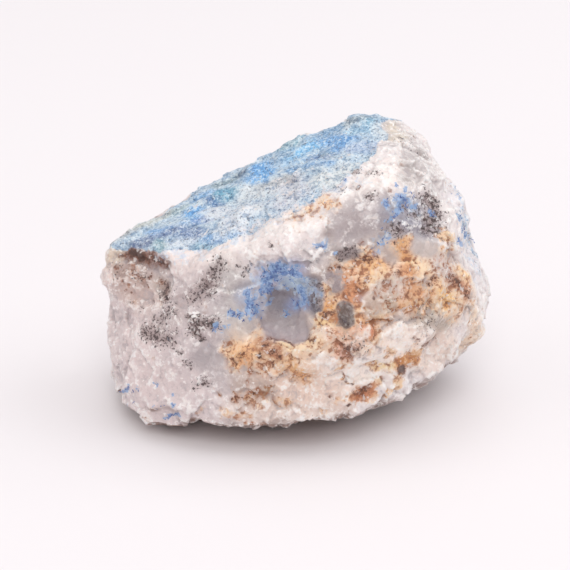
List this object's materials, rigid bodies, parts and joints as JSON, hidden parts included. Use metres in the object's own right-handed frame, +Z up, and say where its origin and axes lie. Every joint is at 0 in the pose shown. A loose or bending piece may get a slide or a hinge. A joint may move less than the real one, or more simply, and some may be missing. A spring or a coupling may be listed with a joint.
{
  "type": "raw linarite specimen",
  "caption": "Rough chunk of white vein quartz with a blue linarite crust on its top face, for display on a flat surface.",
  "frame": {"origin": "middle of the stone's bounding box, on the flat patch of the underside that it rests on", "axes": "+X along the stone's length towards its thick end, +Y away from the broad front face, +Z up"},
  "size_m": [0.0516, 0.034, 0.0351],
  "materials": {
    "vein_quartz": "matte"
  },
  "bodies": {
    "root": {"linarite_stone": "vein_quartz"}
  },
  "joints": []
}
